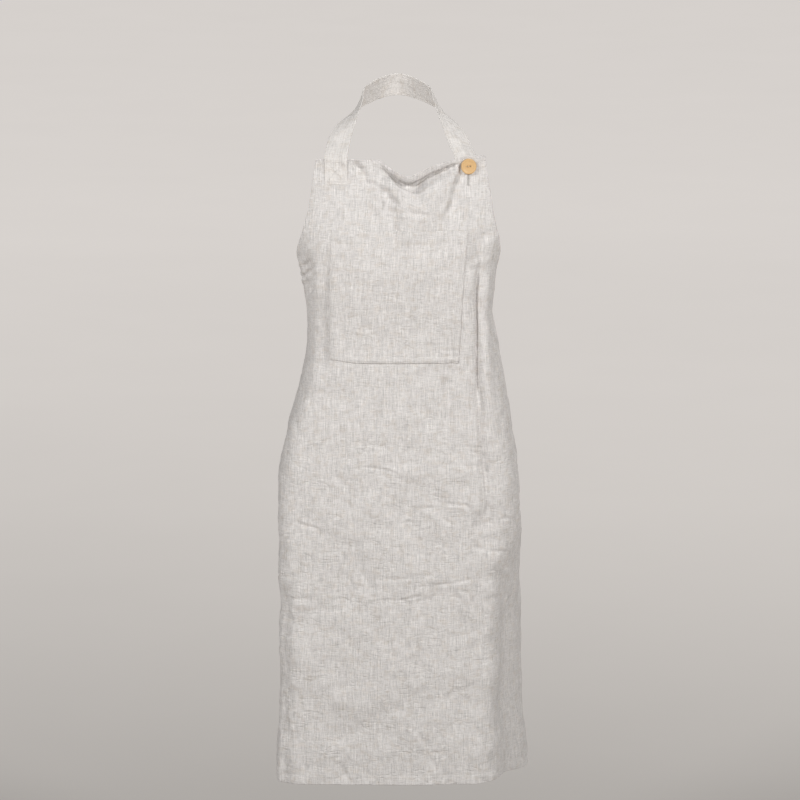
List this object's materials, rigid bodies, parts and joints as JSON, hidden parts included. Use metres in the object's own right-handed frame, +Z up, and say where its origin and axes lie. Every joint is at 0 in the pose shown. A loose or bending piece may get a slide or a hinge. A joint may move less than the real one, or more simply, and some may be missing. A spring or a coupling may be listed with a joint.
{
  "type": "bib apron",
  "caption": "Full-length linen bib apron in its worn form: patch pocket, neck strap buttoned at a bib corner, waist ties in a bow at the back.",
  "frame": {"origin": "where the neck strap bears on the back of the neck, in the middle of the strap's inner face", "axes": "+Z up; the apron's front faces -Y; +X is the viewer's right when facing the front"},
  "size_m": [0.3951, 0.2274, 1.0858],
  "materials": {
    "linen": "matt plain weave with slubs, pale oatmeal",
    "linen_strap": "matt plain weave, pale oatmeal, doubled and stitched",
    "button_wood": "turned, satin",
    "thread": "twisted sewing thread"
  },
  "bodies": {
    "root": {"apron_panel": "linen", "patch_pocket": "linen", "neck_strap": "linen_strap", "button": "button_wood", "button_thread": "thread", "waist_tie_left": "linen_strap", "waist_tie_right": "linen_strap", "bow_knot": "linen_strap", "bow_loop_left": "linen_strap", "bow_loop_right": "linen_strap", "bow_tail_left": "linen_strap", "bow_tail_right": "linen_strap"}
  },
  "joints": []
}
